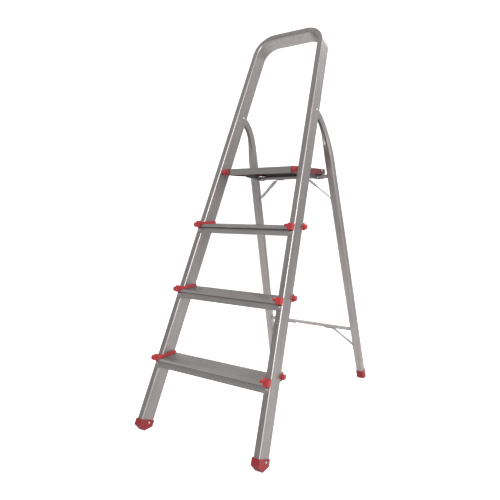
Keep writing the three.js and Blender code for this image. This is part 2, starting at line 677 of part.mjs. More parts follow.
// The lower pivot's place in the platform's frame, with the ladder open
function linkRear() {
  const y = REAR_FLOOR_Y + LINK_REAR.y * Math.cos(REAR_LEAN) - LINK_REAR.z * Math.sin(REAR_LEAN);
  const z = LINK_REAR.y * Math.sin(REAR_LEAN) + LINK_REAR.z * Math.cos(REAR_LEAN);
  return [y - PIVOT.y, z - PIVOT.z];
}

// Flat bar with round ends, in the platform's frame
function link(side) {
  const [frontY, frontZ] = linkPin();
  const [rearY, rearZ] = linkRear();
  const along = Math.atan2(rearZ - frontZ, rearY - frontY);
  const shape = new THREE.Shape();
  shape.absarc(rearY, rearZ, LINK.radius, along - Math.PI / 2, along + Math.PI / 2, false);
  shape.absarc(frontY, frontZ, LINK.radius, along + Math.PI / 2, along + 1.5 * Math.PI, false);
  const points = shape.getPoints(CIRCLE / 2).map((point) => [point.x, point.y]);
  const x = side * LINK.x;
  let solid = toSolid(barAcross(points.slice(0, -1), x - LINK.thickness / 2, x + LINK.thickness / 2));
  for (const [y, z] of [[frontY, frontZ], [rearY, rearZ]]) {
    solid = solid.subtract(sideDrill(side, LINK.pin + GAP, y, z));
  }
  return toGeometry(solid);
}

// Steel bracket bolted under the upper crossbar, with the ear that carries the link
function linkBracket(side) {
  const barFace = UPPER_BAR_Z - BAR.size / 2 - GAP;
  const { y, z } = LINK_REAR;
  const r = LINK.radius;
  const half = BAR.size / 2;
  const ear = [
    [y - r, z - r / 2], [y - r / 2, z - r], [-half, barFace - STRIP], [half, barFace - STRIP],
    [half, barFace], [-half, barFace], [y + r, z], [y + r / 2, z + r], [y - r / 2, z + r],
    [y - r, z + r / 2]];
  const drill = pinZ(barFace - 2 * STRIP, barFace + STRIP, RIVET.shank + GAP);
  return toGeometry(toSolid(barAcross(ear, side * BRACKET.earX, side * (BRACKET.earX + BRACKET.wall)))
    .add(toSolid(block(side * BRACKET.earX, side * BRACKET.outer, -half, half, barFace - STRIP, barFace)))
    .subtract(sideDrill(side, LINK.bolt + GAP, y, z))
    .subtract(toSolid(drill, move(side * BRACKET.boltX, 0, 0))));
}

// ---------------------------------------------------------------- assembly

const ladder = new THREE.Group();
const front = new THREE.Group();
const rear = new THREE.Group();
const platform = new THREE.Group();
front.rotation.x = -FRONT_LEAN;
rear.rotation.x = REAR_LEAN;
rear.position.y = REAR_FLOOR_Y;
platform.position.set(0, PIVOT.y, PIVOT.z);
ladder.add(front, rear, platform);

function put(group, name, geometry, finish) {
  const mesh = new THREE.Mesh(geometry, new THREE.MeshStandardMaterial(finish));
  mesh.name = name;
  group.add(mesh);
  return mesh;
}

// Puts a turned piece with its head at a place and its shank towards a direction
function fasten(group, name, geometry, place, direction) {
  const mesh = put(group, name, geometry, RIVET_METAL);
  mesh.position.set(...place);
  mesh.quaternion.setFromUnitVectors(new THREE.Vector3(1, 0, 0), new THREE.Vector3(...direction));
  return mesh;
}

put(front, 'front_frame', frontFrame(), ALUMINIUM);
for (const [name, side] of SIDES) {
  const footHalf = RAIL.width / 2 + FRONT_FOOT.wall + GAP + FRONT_FOOT.standOff;
  const footX = railX(FRONT_FOOT_RIVET.z);
  put(front, `front_foot_${name}`, frontFoot(side), RED);
  fasten(front, `front_foot_rivet_${name}`, clinched(2 * footHalf, RIVET.shank, FRONT_FOOT_RIVET.head),
    [side * (footX - footHalf), FRONT_FOOT_RIVET.y, FRONT_FOOT_RIVET.z], [side, 0, 0]);
  const pivotHalf = RAIL.width / 2 + TOP_PIVOT_RIVET.standOff;
  fasten(front, `top_pivot_rivet_${name}`, clinched(2 * pivotHalf, TOP_PIVOT.radius, TOP_PIVOT_RIVET.head),
    [side * (railX(TOP_PIVOT.height) + pivotHalf), TOP_PIVOT.depth, TOP_PIVOT.height], [-side, 0, 0]);
}

TREAD_TOPS.forEach((top, index) => {
  const number = index + 1;
  put(front, `tread_${number}`, tread(top), RIBBED);
  for (const [name, side] of SIDES) {
    const height = treadHeight(top) - TREAD_RIVET_DROP;
    put(front, `tread_${number}_cap_${name}`, treadCap(top, side, side < 0), RED);
    fasten(front, `tread_${number}_rivet_${name}`, rivet(RIVET.treadLength),
      [side * railX(height), -APRON.wall - 2 * GAP, height], [0, 1, 0]);
  }
});

put(platform, 'platform_deck', deck(), RIBBED);
for (const [name, side] of SIDES) {
  const [linkY, linkZ] = linkPin();
  const pinProfile = [
    [SIDE.inner + PIVOT.blind + GAP, PIVOT.pin], [PIVOT.headInner, PIVOT.pin],
    [PIVOT.headInner, PIVOT.head], [PIVOT.headOuter, PIVOT.head]];
  const pivotPin = put(platform, `platform_pivot_pin_${name}`, turned(pinProfile), ZINC);
  if (side < 0) pivotPin.rotation.y = Math.PI;
  put(platform, `platform_side_${name}`, platformSide(side), RED);
  const pinLength = SIDE.outer - LINK.x - LINK.thickness / 2;
  fasten(platform, `link_pin_${name}`, rivet(pinLength, LINK.pin, LINK.head),
    [side * (SIDE.outer + GAP), linkY, linkZ], [-side, 0, 0]);
  put(platform, `platform_catch_${name}`, platformCatch(side), ZINC);
  fasten(platform, `platform_catch_rivet_${name}`, rivet(CATCH_RIVET.length),
    [side * (CATCH.x + CATCH.wall + GAP), CATCH_RIVET.y, CATCH_RIVET.z], [-side, 0, 0]);
  put(platform, `link_${name}`, link(side), ZINC);
}

for (const [name, side] of SIDES) {
  put(rear, `rear_leg_${name}`, rearLeg(side), ALUMINIUM);
  put(rear, `rear_foot_${name}`, rearFoot(side), RED);
  put(rear, `link_bracket_${name}`, linkBracket(side), ZINC);
  const innerFace = LINK.x - LINK.thickness / 2 - GAP;
  const boltLength = BRACKET.earX + BRACKET.wall + GAP - innerFace;
  fasten(rear, `link_bolt_${name}`, clinched(boltLength, LINK.bolt, LINK.head),
    [side * innerFace, LINK_REAR.y, LINK_REAR.z], [side, 0, 0]);
  const underBracket = UPPER_BAR_Z - BAR.size / 2 - STRIP - 2 * GAP;
  fasten(rear, `link_bracket_bolt_${name}`, rivet(BRACKET.boltLength),
    [side * BRACKET.boltX, 0, underBracket], [0, 0, 1]);
}

for (const [level, spec] of [['lower', LOWER_BRACE], ['upper', UPPER_BRACE]]) {
  put(rear, `${level}_crossbar`, crossbar(spec), ALUMINIUM);
  for (const [name, side] of SIDES) {
    const underStrip = spec.bar - BAR.size / 2 - STRIP - 2 * GAP;
    const besideStrip = legInner(spec.legRivet) - STRIP - 2 * GAP;
    put(rear, `${level}_brace_${name}`, brace(spec, side), ZINC);
    fasten(rear, `${level}_brace_bar_rivet_${name}`, rivet(RIVET.barLength),
      [side * spec.rivet, 0, underStrip], [0, 0, 1]);
    fasten(rear, `${level}_brace_leg_rivet_${name}`, rivet(RIVET.legLength),
      [side * besideStrip, 0, spec.legRivet], [side, 0, 0]);
  }
}

const extent = new THREE.Box3().setFromObject(ladder, true);
ladder.position.y = -(extent.min.y + extent.max.y) / 2;

export default ladder;
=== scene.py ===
"""Looks of a folding platform step ladder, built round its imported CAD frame.

Meshes are written in millimetres, in the frame of the assembly they belong to, and are put into the
scene in metres. Every piece stands for one CAD node and rides on that node's body.
"""

import json
import math
import bmesh
import bpy
from mathutils import Matrix, Vector


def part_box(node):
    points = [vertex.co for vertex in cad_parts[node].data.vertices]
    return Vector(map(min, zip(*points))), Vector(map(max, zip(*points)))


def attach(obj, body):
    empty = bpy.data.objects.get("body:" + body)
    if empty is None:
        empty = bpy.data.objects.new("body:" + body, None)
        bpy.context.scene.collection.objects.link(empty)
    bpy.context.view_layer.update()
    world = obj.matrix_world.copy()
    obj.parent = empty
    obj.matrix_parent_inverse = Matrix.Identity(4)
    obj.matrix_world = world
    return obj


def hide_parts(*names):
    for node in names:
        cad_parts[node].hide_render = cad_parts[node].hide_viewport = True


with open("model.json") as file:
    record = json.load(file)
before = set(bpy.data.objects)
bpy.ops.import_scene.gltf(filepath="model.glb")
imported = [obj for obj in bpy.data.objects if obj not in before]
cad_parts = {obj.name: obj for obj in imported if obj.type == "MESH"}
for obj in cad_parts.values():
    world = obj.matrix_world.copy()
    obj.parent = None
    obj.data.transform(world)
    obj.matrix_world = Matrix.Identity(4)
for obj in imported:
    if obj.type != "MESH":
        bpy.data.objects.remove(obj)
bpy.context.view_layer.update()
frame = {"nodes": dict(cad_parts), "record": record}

MM = 0.001
BODY_OF = {node: body for body, nodes in frame["record"]["behaviour"]["bodies"].items() for node in nodes}
JOINT_AT = {joint["name"]: Vector(joint["pos_m"]) / MM for joint in frame["record"]["behaviour"]["joints"]}
SIDES = (("left", -1), ("right", 1))

# Driving dimensions, millimetres and radians
FRONT_LEAN = math.radians(24)
REAR_LEAN = math.radians(16)
FLOOR_SPREAD = 842.8  # between the two frames' floor lines
GAP = 0.3

RAIL_WIDTH, RAIL_DEPTH, RAIL_WALL, RAIL_CORNER = 21, 53, 1.8, 4.2
RAIL_FOOT_X, RAIL_TAPER, RAIL_START = 217.7, 0.0627, 27
RAIL_STATIONS = (RAIL_START, 300, 600, 900, 1150)
BOW_RADIUS, BOW_TOP = 66, 1447.5
TOP_PIVOT_DEPTH, TOP_PIVOT_HEIGHT = 35.5, 1130.5

LEG_WIDTH, LEG_DEPTH, LEG_WALL, LEG_CORNER = 28.5, 27, 1.5, 6
LEG_FOOT_X, LEG_TAPER, LEG_START, LEG_TOP_WIDTH = 206.7, 0.0521, 8, 14.4
LEG_BEND, BEND_EASE, LEG_BEYOND_PIVOT = math.radians(60), 1.35, 12
LEG_STATIONS, STATION = (LEG_START, 200, 400, 600, 760), 3
SQUEEZE_FROM, SQUEEZE_TO = -60, 80  # from the start of the bend
GROOVE_FROM, GROOVE_FULL, GROOVE_DEPTH, GROOVE_WIDTH = -18, 9, 5.5, 9

BAR_SIZE, BAR_CORNER, BAR_INTO_LEG = 12, 2.6, 5
LOWER_BAR, UPPER_BAR = 219, 838
STRIP, BEYOND_RIVET = 1.5, 7
LOWER_BRACE = {"bar": LOWER_BAR, "rivet": 73, "bend": 103, "leg_top": 148, "leg_end": 128}
UPPER_BRACE = {"bar": UPPER_BAR, "rivet": 41, "bend": 66, "leg_top": 756, "leg_end": 736}

NUB_RADIUS, NUB_OUT, BOSS_RADIUS, BOSS_FROM, BOSS_TO = 8, 10, 10, 129, 149.8
BOSS_COLLAR = 1.2
DECK_WALL, LIP_DROP = 2, 3.5
LINK_ROUND, LINK_HOLE = 7.5, 3.3
RIVET_DOME, RIVET_HEAD, RIVET_SHANK = 1.8, 4, 2
FOOT_RIVET_HEAD, PIN_HEAD, PIN_SHANK, BOLT_SHANK = 3.5, 5, 3, 2.9
FOOT_WALL, FOOT_TOP, FOOT_SOLE_ROUND, FOOT_LIP = 1.8, 36, 3, 0.8
LOWER_BRACE_WIDTH, BRACE_CREASE = 14, 2.4
UPPER_BRACE_WIDTH, BRACE_TURN, BRACE_TAB_TURN = 13.5, math.radians(43), math.radians(62)
BRACE_TAB_LENGTH, TAB_EASE, TURN_IN, TURN_OUT = 40, 5, 12, 14

# Edge roundings, millimetres
FOOT_EDGE, CAP_EDGE, SIDE_EDGE = 1.3, 0.9, 0.7
PIN_EDGE, PLATE_EDGE, STRIP_EDGE, SHEET_EDGE = 0.4, 0.35, 0.3, 0.28

# What the metal mirrors: direction, full and zero angle in degrees, and how much light it adds
SKY_LEVEL, SKY_ON_DULL = 0.9, 0.8
SKY_LOBES = (
    ((-0.6, -0.46, 0.62), 34, 64, -0.29),  # up in front, seen in the front faces
    ((-0.35, -0.9, 0.1), 12, 48, -0.2),  # low in front, seen in the rails' lower ends
    ((0.42, 0.9, 0.0), 8, 20, -0.42),  # behind, seen in the right-hand faces
    ((-0.45, 0.78, 0.36), 16, 46, 0.55),  # up behind, seen in the treads
    ((0.76, -0.45, 0.36), 20, 38, 1.2),  # right, seen along the rails' rounded corners
    ((-1.0, 0.25, 0.1), 10, 60, -0.2),  # left
)

# Lights: name, direction, distance and size in metres, watts; they point at this height
LIGHTS = (("key", (0.72, -0.48, 0.46), 3.2, 1.4, 60), ("top", (0.25, 0.6, 0.9), 3.0, 2.0, 50))
LIGHTS_AIM = 0.6

# The pale floor, with a painted pool of light left of the rear frame, metres
FLOOR_SIZE, FLOOR_BELOW, FLOOR_GLOW = 30.0, 0.0005, 0.62
LIGHT_POOL_PLACE, LIGHT_POOL_TONES, LIGHT_POOL_RADII = (-0.75, 0.6, 0), (0.88, 0.5), (0.5, 1.7)

# Camera: metres, degrees and millimetres; it stands in front of the ladder's front feet
CAMERA_RIGHT, CAMERA_FRONT, CAMERA_HEIGHT = 0.8472, 0.9881, 0.7059
CAMERA_DOWN, CAMERA_ROLL, CAMERA_LEFT = 5.52, 0.11, 32.89
CAMERA_LENS, CAMERA_SENSOR = 34.09, 36.0


# ---------------------------------------------------------------- frames

def tilted(origin_y, angle):
    return Matrix.Translation((0, origin_y, 0)) @ Matrix.Rotation(angle, 4, "X")


def in_front_frame(depth, height):
    """How far a place in the front frame lies behind that frame's floor line."""
    return depth * math.cos(FRONT_LEAN) + height * math.sin(FRONT_LEAN)


FRONT_Y = JOINT_AT["rear_frame_fold"].y - in_front_frame(TOP_PIVOT_DEPTH, TOP_PIVOT_HEIGHT)
FRONT = tilted(FRONT_Y, -FRONT_LEAN)
REAR = tilted(FRONT_Y + FLOOR_SPREAD, REAR_LEAN)
PLATFORM = Matrix.Translation(JOINT_AT["platform_fold"])
AS_PACKED = Matrix.Scale(1 / MM, 4)


def rail_x(height):
    return RAIL_FOOT_X - RAIL_TAPER * height


def leg_x(height):
    return LEG_FOOT_X - LEG_TAPER * height


def leg_inner(height):
    return leg_x(height) - LEG_WIDTH / 2


def smooth(value, low, high):
    t = min(max((value - low) / (high - low), 0), 1)
    return t * t * (3 - 2 * t)


# ---------------------------------------------------------------- mesh code

def arc(centre, radius, start, end, steps):
    """Points on an arc between two angles in degrees."""
    angles = [math.radians(start + (end - start) * i / steps) for i in range(steps + 1)]
    return [(centre[0] + radius * math.cos(a), centre[1] + radius * math.sin(a)) for a in angles]


def rounded_rectangle(width, height, radius, steps=6):
    x, y = width / 2 - radius, height / 2 - radius
    corners = (((x, -y), -90), ((x, y), 0), ((-x, y), 90), ((-x, -y), 180))
    return [p for centre, start in corners for p in arc(centre, radius, start, start + 90, steps)]


def sweep(mesh, rings, closed=False):
    """A skin over rings of points, with a face over each end unless the last ring joins the first."""
    loops = [[mesh.verts.new(point) for point in ring] for ring in rings]
    pairs = list(zip(loops, loops[1:])) + ([(loops[-1], loops[0])] if closed else [])
    for a, b in pairs:
        for i in range(len(a)):
            mesh.faces.new((a[i - 1], a[i], b[i], b[i - 1]))
    if not closed:
        mesh.faces.new(loops[0])
        mesh.faces.new(reversed(loops[-1]))


def prism(mesh, outline, low, high):
    """A bar along X whose section is given as (y, z) points."""
    sweep(mesh, [[(x, y, z) for y, z in outline] for x in (low, high)])


def turned(mesh, profile, place, direction, steps=28):
    """A turned form. The profile is (distance along the direction, radius), from end to end."""
    turn = Vector(direction).to_track_quat("X", "Z").to_matrix().to_4x4()
    put = Matrix.Translation(place) @ turn
    angles = [2 * math.pi * i / steps for i in range(steps)]
    sweep(mesh, [[put @ Vector((along, radius * math.cos(a), radius * math.sin(a))) for a in angles]
                 for along, radius in profile])


def plate(mesh, loops, low, high):
    """A flat plate across X: an outline in (y, z) with holes."""
    faces = []
    for x in (low, high):
        rings = [[mesh.verts.new((x, y, z)) for y, z in loop] for loop in loops]
        edges = [mesh.edges.new((ring[i - 1], ring[i])) for ring in rings for i in range(len(ring))]
        bmesh.ops.triangle_fill(mesh, use_beauty=True, edges=edges)
        faces.append(rings)
    for near, far in zip(*faces):
        for i in range(len(near)):
            mesh.faces.new((near[i - 1], near[i], far[i], far[i - 1]))


def dome(head, height, steps=7):
    """Profile of a domed head, from its crown to its rim at distance 0."""
    angles = [math.pi / 2 * i / steps for i in range(1, steps + 1)]
    crown = [(-height, head * 0.06)]
    return crown + [(-height * math.cos(a) ** 0.8 if i < steps else 0, head * math.sin(a))
                    for i, a in enumerate(angles, 1)]


def piece(node, mesh, group, material, bevel=0.0, steps=2):
    """Makes an object that stands for a CAD node, rides on its body and takes the material it is given."""
    bmesh.ops.recalc_face_normals(mesh, faces=mesh.faces)
    mesh.transform(Matrix.Scale(MM, 4) @ group)
    data = bpy.data.meshes.new(f"{node}_look")
    mesh.to_mesh(data)
    mesh.free()
    data.shade_smooth()
    data.set_sharp_from_angle(angle=math.radians(42))
    data.materials.append(material)
    made = bpy.data.objects.new(f"{node}_look", data)
    bpy.context.scene.collection.objects.link(made)
    if bevel:
        rounding = made.modifiers.new("Rounding", "BEVEL")
        rounding.width = bevel * MM
        rounding.segments = steps
        rounding.limit_method = "ANGLE"
        rounding.angle_limit = math.radians(35)
    made.modifiers.new("Even shading", "WEIGHTED_NORMAL").keep_sharp = True
    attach(made, BODY_OF[node])
    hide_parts(node)
    return made


def from_cad(node):
    """The CAD node's own shape in millimetres, with its flat faces made whole again."""
    mesh = bmesh.new()
    mesh.from_mesh(frame["nodes"][node].data)
    bmesh.ops.remove_doubles(mesh, verts=mesh.verts, dist=0.02 * MM)
    bmesh.ops.dissolve_limit(mesh, angle_limit=math.radians(1), verts=mesh.verts, edges=mesh.edges)
    mesh.transform(AS_PACKED)
    return mesh


# ---------------------------------------------------------------- materials

class Shader:
    """A node tree, with one short call for each node."""

    def __init__(self, owner):
        owner.use_nodes = True
        self.owner = owner
        self.tree = owner.node_tree
        self.tree.nodes.clear()

    def add(self, kind, output=0, inputs=None, **settings):
        node = self.tree.nodes.new(kind)
        for name, value in settings.items():
            setattr(node, name, value)
        for name, value in (inputs or {}).items():
            if isinstance(value, bpy.types.NodeSocket):
                self.tree.links.new(value, node.inputs[name])
            else:
                node.inputs[name].default_value = value
        return node.outputs[output] if len(node.outputs) else node

    def noise(self, vector, scale, detail=2.0):
        return self.add("ShaderNodeTexNoise", inputs={"Vector": vector, "Scale": scale, "Detail": detail})

    def ranged(self, value, low, high, start=0.3, end=0.7):
        return self.add("ShaderNodeMapRange", inputs={
            "Value": value, "From Min": start, "From Max": end, "To Min": low, "To Max": high})

    def math(self, operation, a, b=0.0):
        return self.add("ShaderNodeMath", operation=operation, inputs={0: a, 1: b})

    def mixed(self, factor, a, b):
        return self.add("ShaderNodeMix", 2, inputs={0: factor, 6: a, 7: b}, data_type="RGBA")

    def scaled(self, colour, factor):
        """A colour times a number."""
        return self.add("ShaderNodeVectorMath", operation="SCALE", inputs={0: colour[:3], "Scale": factor})

    def worn_edges(self, radius, gain):
        """1 along convex edges, 0 on faces."""
        rounded = self.add("ShaderNodeBevel", inputs={"Radius": radius}, samples=4)
        plain = self.add("ShaderNodeNewGeometry", 1)
        same = self.add("ShaderNodeVectorMath", 1, operation="DOT_PRODUCT", inputs={0: rounded, 1: plain})
        return self.ranged(self.math("SUBTRACT", 1.0, same), 0, 1, 0.01, 0.01 + 1 / gain)

    def finish(self, **inputs):
        named = {name.replace("_", " "): value for name, value in inputs.items()}
        shader = self.add("ShaderNodeBsdfPrincipled", inputs=named)
        self.add("ShaderNodeOutputMaterial", inputs={"Surface": shader})
        return self.owner


def drawn_metal(name, colour, turn, stretch, roughness=0.36, streaks=620, tone=0.16, painted_shade_and_dullness_reach=0.0,
                metallic=0.93):
    """Extruded aluminium: faint lines along its length, broad tarnish, and, where other parts shelter it,
    painted shade (a base colour darkened by ambient occlusion) and a rougher, duller finish.
    """
    shader = Shader(bpy.data.materials.new(name))
    place = shader.add("ShaderNodeTexCoord", 3)
    along = shader.add("ShaderNodeMapping", vector_type="TEXTURE", inputs={
        "Vector": place, "Rotation": (turn, 0, 0), "Scale": stretch})
    fine = shader.noise(along, streaks, 4.0)
    bands = shader.noise(along, streaks / 7, 1.0)
    tarnish = shader.noise(place, 9.0, 3.0)
    handled = shader.noise(place, 60.0, 4.0)
    lines = shader.math("MULTIPLY", shader.ranged(fine, 1 - tone / 2, 1 + tone / 2),
                        shader.ranged(bands, 1 - tone / 2, 1 + tone / 2))
    shade = shader.math("MULTIPLY", lines, shader.ranged(tarnish, 0.94, 1.05))
    # Painted shade: ambient occlusion darkens the base colour where other parts are near; further down it
    # also raises the roughness there.
    if painted_shade_and_dullness_reach:
        painted_shade_and_dullness_ao = shader.add("ShaderNodeAmbientOcclusion", 1, inputs={"Distance": painted_shade_and_dullness_reach}, samples=6)
        shade = shader.math("MULTIPLY", shade, shader.ranged(painted_shade_and_dullness_ao, 0.7, 1.0, 0.3, 0.8))
    base = shader.scaled(colour, shade)
    rough = shader.math("ADD", shader.ranged(fine, roughness - 0.05, roughness + 0.05),
                        shader.ranged(handled, -0.04, 0.06))
    if painted_shade_and_dullness_reach:
        rough = shader.math("ADD", rough, shader.ranged(painted_shade_and_dullness_ao, 0.4, 0.0, 0.3, 0.8))
    bump = shader.add("ShaderNodeBump", inputs={"Strength": 0.1, "Distance": 0.0001, "Height": fine})
    return shader.finish(Base_Color=base, Metallic=metallic, Roughness=rough, Normal=bump)


def moulded_plastic(name, colour):
    """Red moulding: fine spark-eroded grain, slight mottling, paler rubbed edges."""
    shader = Shader(bpy.data.materials.new(name))
    place = shader.add("ShaderNodeTexCoord", 3)
    grain = shader.noise(place, 1900.0, 3.0)
    mottle = shader.noise(place, 38.0, 4.0)
    scuffs = shader.noise(place, 240.0, 5.0)
    edges = shader.worn_edges(0.0014, 3)
    body = shader.scaled(colour, shader.ranged(mottle, 0.86, 1.1))
    rubbed = shader.math("MULTIPLY", edges, shader.ranged(scuffs, 0.1, 0.75))
    base = shader.mixed(rubbed, body, (0.74, 0.16, 0.14, 1))
    rough = shader.math("ADD", shader.ranged(mottle, 0.36, 0.48), shader.ranged(scuffs, -0.04, 0.1))
    bump = shader.add("ShaderNodeBump", inputs={"Strength": 0.3, "Distance": 0.0001, "Height": grain})
    return shader.finish(Base_Color=base, Roughness=rough, Normal=bump, Subsurface_Weight=0.04,
                         Subsurface_Scale=0.002, Specular_IOR_Level=0.45)


def plated_steel(name, colour, roughness, flake, metallic=1.0):
    """Plated steel: pale crystalline patches over cool grey, duller where it has been handled."""
    shader = Shader(bpy.data.materials.new(name))
    place = shader.add("ShaderNodeTexCoord", 3)
    crystals = shader.add("ShaderNodeTexVoronoi", 0, inputs={"Vector": place, "Scale": flake})
    haze = shader.noise(place, 90.0, 5.0)
    grit = shader.noise(place, 1500.0, 3.0)
    shade = shader.math("MULTIPLY", shader.ranged(crystals, 0.88, 1.08, 0, 0.6),
                        shader.ranged(haze, 0.86, 1.1))
    edges = shader.worn_edges(0.0008, 4)
    base = shader.mixed(edges, shader.scaled(colour, shade), (0.8, 0.82, 0.85, 1))
    rough = shader.math("ADD", shader.ranged(haze, roughness - 0.06, roughness + 0.1),
                        shader.ranged(crystals, -0.03, 0.03, 0, 0.6))
    bump = shader.add("ShaderNodeBump", inputs={"Strength": 0.25, "Distance": 0.00008, "Height": grit})
    return shader.finish(Base_Color=base, Metallic=metallic, Roughness=rough, Normal=bump)


ALONG_Z, ALONG_X = (1, 1, 60), (60, 1, 1)
SATIN = (0.36, 0.33, 0.326, 1)
RAIL_METAL = drawn_metal("rail_aluminium", SATIN, -FRONT_LEAN, ALONG_Z)
LEG_METAL = drawn_metal("leg_aluminium", SATIN, REAR_LEAN, ALONG_Z)
# The crossbars and the deck get painted shade in their colour where other parts shelter them.
BAR_METAL = drawn_metal("bar_aluminium", SATIN, REAR_LEAN, ALONG_X, painted_shade_and_dullness_reach=0.1, metallic=0.6)
TREAD_METAL = drawn_metal("tread_aluminium", (0.375, 0.352, 0.346, 1), 0.0, ALONG_X,
                          roughness=0.42, streaks=480, tone=0.12)
DECK_METAL = drawn_metal("deck_aluminium", (0.355, 0.336, 0.328, 1), 0.0, ALONG_X,
                         roughness=0.42, streaks=480, tone=0.12, painted_shade_and_dullness_reach=0.25)
RED = moulded_plastic("red_moulding", (0.34, 0.022, 0.026, 1))
FOOT_RED = moulded_plastic("foot_red_moulding", (0.22, 0.011, 0.014, 1))
# A darker copy of the red moulding: painted shade for the platform sides, whose bosses keep the lit red.
SHADED_RED = moulded_plastic("painted_shade_red_moulding", (0.13, 0.022, 0.028, 1))
ZINC = plated_steel("zinc_plate", (0.27, 0.28, 0.30, 1), 0.36, 260.0)
STRIP_METAL = plated_steel("strip_steel", (0.34, 0.345, 0.355, 1), 0.5, 200.0, 0.55)
CATCH_METAL = plated_steel("catch_steel", (0.13, 0.115, 0.1, 1), 0.5, 260.0, 0.6)
BRIGHT = plated_steel("rivet_metal", (0.52, 0.52, 0.52, 1), 0.24, 700.0)


# ---------------------------------------------------------------- front frame

def channel_section():
    """(outward, depth) points of the rail: rounded front corners and softened rear lips."""
    half, r, w = RAIL_WIDTH / 2, RAIL_CORNER, RAIL_WALL
    lip = w / 2
    outer = arc((-half + r, r), r, 180, 270, 6) + arc((half - r, r), r, 270, 360, 6)
    right_lip = arc((half - lip, RAIL_DEPTH - lip), lip, 0, 180, 4)
    inner = (arc((half - r, r), r - w, 360, 270, 4) + arc((-half + r, r), r - w, 270, 180, 4))
    left_lip = arc((-half + lip, RAIL_DEPTH - lip), lip, 0, 180, 4)
    return outer + right_lip + inner + left_lip


def bow_line(steps=26):
    """(x, z, outward x, outward z) along the rails and the bow, in the front frame."""
    tilt = math.atan(RAIL_TAPER)
    centre_z = BOW_TOP - BOW_RADIUS
    centre_x = rail_x(centre_z + BOW_RADIUS * math.sin(tilt)) - BOW_RADIUS * math.cos(tilt)
    out_x, out_z = math.cos(tilt), math.sin(tilt)
    line = [(rail_x(z), z, out_x, out_z) for z in RAIL_STATIONS]
    for i in range(steps + 1):
        a = tilt + (math.pi / 2 - tilt) * i / steps
        c, s = math.cos(a), math.sin(a)
        line.append((centre_x + BOW_RADIUS * c, centre_z + BOW_RADIUS * s, c, s))
    return line + [(-x, z, -ox, oz) for x, z, ox, oz in reversed(line)]


def front_frame():
    mesh = bmesh.new()
    section = channel_section()
    sweep(mesh, [[(x + ox * out, depth, z + oz * out) for out, depth in section]
                 for x, z, ox, oz in bow_line()])
    piece("front_frame", mesh, FRONT, RAIL_METAL)


# ---------------------------------------------------------------- rear legs

def leg_line(steps=48):
    """(y, z, tangent angle) up the leg, in the rear frame: straight, a tightening bend, and a short end."""
    pivot = REAR.inverted() @ JOINT_AT["rear_frame_fold"]
    turns = [LEG_BEND * (i / steps) ** BEND_EASE for i in range(steps + 1)]
    middles = [(a + b) / 2 for a, b in zip(turns, turns[1:])]
    step = -pivot.y / sum(math.sin(turn) for turn in middles)
    bend_z = pivot.z - step * sum(math.cos(turn) for turn in middles)
    squeezed = [bend_z + offset for offset in range(SQUEEZE_FROM - 2 * STATION, 0, STATION)]
    line = [(0, z, 0) for z in (*LEG_STATIONS, *squeezed, bend_z)]
    for middle, turn in zip(middles, turns[1:]):
        y, z, _ = line[-1]
        line.append((y - step * math.sin(middle), z + step * math.cos(middle), turn))
    y, z, turn = line[-1]
    line.append((y - LEG_BEYOND_PIVOT * math.sin(turn), z + LEG_BEYOND_PIVOT * math.cos(turn), turn))
    return line, bend_z, pivot


def groove(across, depth, rise):
    """How far the front wall of the leg is pressed in, at a place across it."""
    if depth > -LEG_DEPTH / 2 + LEG_CORNER:
        return 0
    reach = smooth(rise, GROOVE_FROM, GROOVE_FULL)
    return GROOVE_DEPTH * reach * (1 - smooth(abs(across), 0, GROOVE_WIDTH))


def leg_section(shrink):
    """(across, depth) points, with extra points on the front wall where the groove is pressed in."""
    outline = rounded_rectangle(LEG_WIDTH - shrink, LEG_DEPTH - shrink, LEG_CORNER - shrink / 2)
    front = -(LEG_DEPTH - shrink) / 2
    start, end = -(LEG_WIDTH - shrink) / 2 + LEG_CORNER, (LEG_WIDTH - shrink) / 2 - LEG_CORNER
    return outline + [(start + (end - start) * i / 11, front) for i in range(1, 11)]


def rear_leg(name, side):
    line, bend_z, pivot = leg_line()
    drift = rail_x(TOP_PIVOT_HEIGHT) - leg_x(pivot.z)

    def ring(section, y, z, turn):
        points = []
        for across, depth in section:
            rise = z - bend_z
            squeeze = smooth(rise, SQUEEZE_FROM, SQUEEZE_TO)
            pressed = depth + groove(across, depth, rise)
            width = 1 - squeeze * (1 - LEG_TOP_WIDTH / LEG_WIDTH)
            py = y + pressed * math.cos(turn)
            pz = z + pressed * math.sin(turn)
            px = side * leg_x(pz) + across * width + side * drift * squeeze
            points.append((px, py, pz))
        return points

    outer = [ring(leg_section(0), *station) for station in line]
    inner = [ring(leg_section(2 * LEG_WALL), *station) for station in line]
    mesh = bmesh.new()
    sweep(mesh, outer + inner[::-1], closed=True)
    piece(f"rear_leg_{name}", mesh, REAR, LEG_METAL)


def rear_foot(name, side):
    """Shoe with a rounded sole that lies level on the floor, and a lip around the leg."""
    slope = math.tan(REAR_LEAN)

    def ring(grow, height, level):
        section = rounded_rectangle(LEG_WIDTH + 2 * grow, LEG_DEPTH + 2 * grow, LEG_CORNER + grow)
        points = []
        for x, y in section:
            z = height - y * slope if level else height
            points.append((side * leg_x(z) + x, y, z))
        return points

    wall, r = FOOT_WALL, FOOT_SOLE_ROUND
    sole = [(wall - r * (1 - math.sin(a)), r * (1 - math.cos(a)))
            for a in (math.radians(15 * i) for i in range(7))]
    rings = [ring(grow, height, True) for grow, height in sole]
    rings += [ring(wall, FOOT_TOP - FOOT_LIP, False), ring(wall - 0.25, FOOT_TOP - 0.2, False),
              ring(wall - FOOT_LIP, FOOT_TOP, False), ring(GAP / 3, FOOT_TOP, False),
              ring(GAP / 3, FOOT_TOP - 4, False)]
    mesh = bmesh.new()
    sweep(mesh, rings)
    piece(f"rear_foot_{name}", mesh, REAR, FOOT_RED)


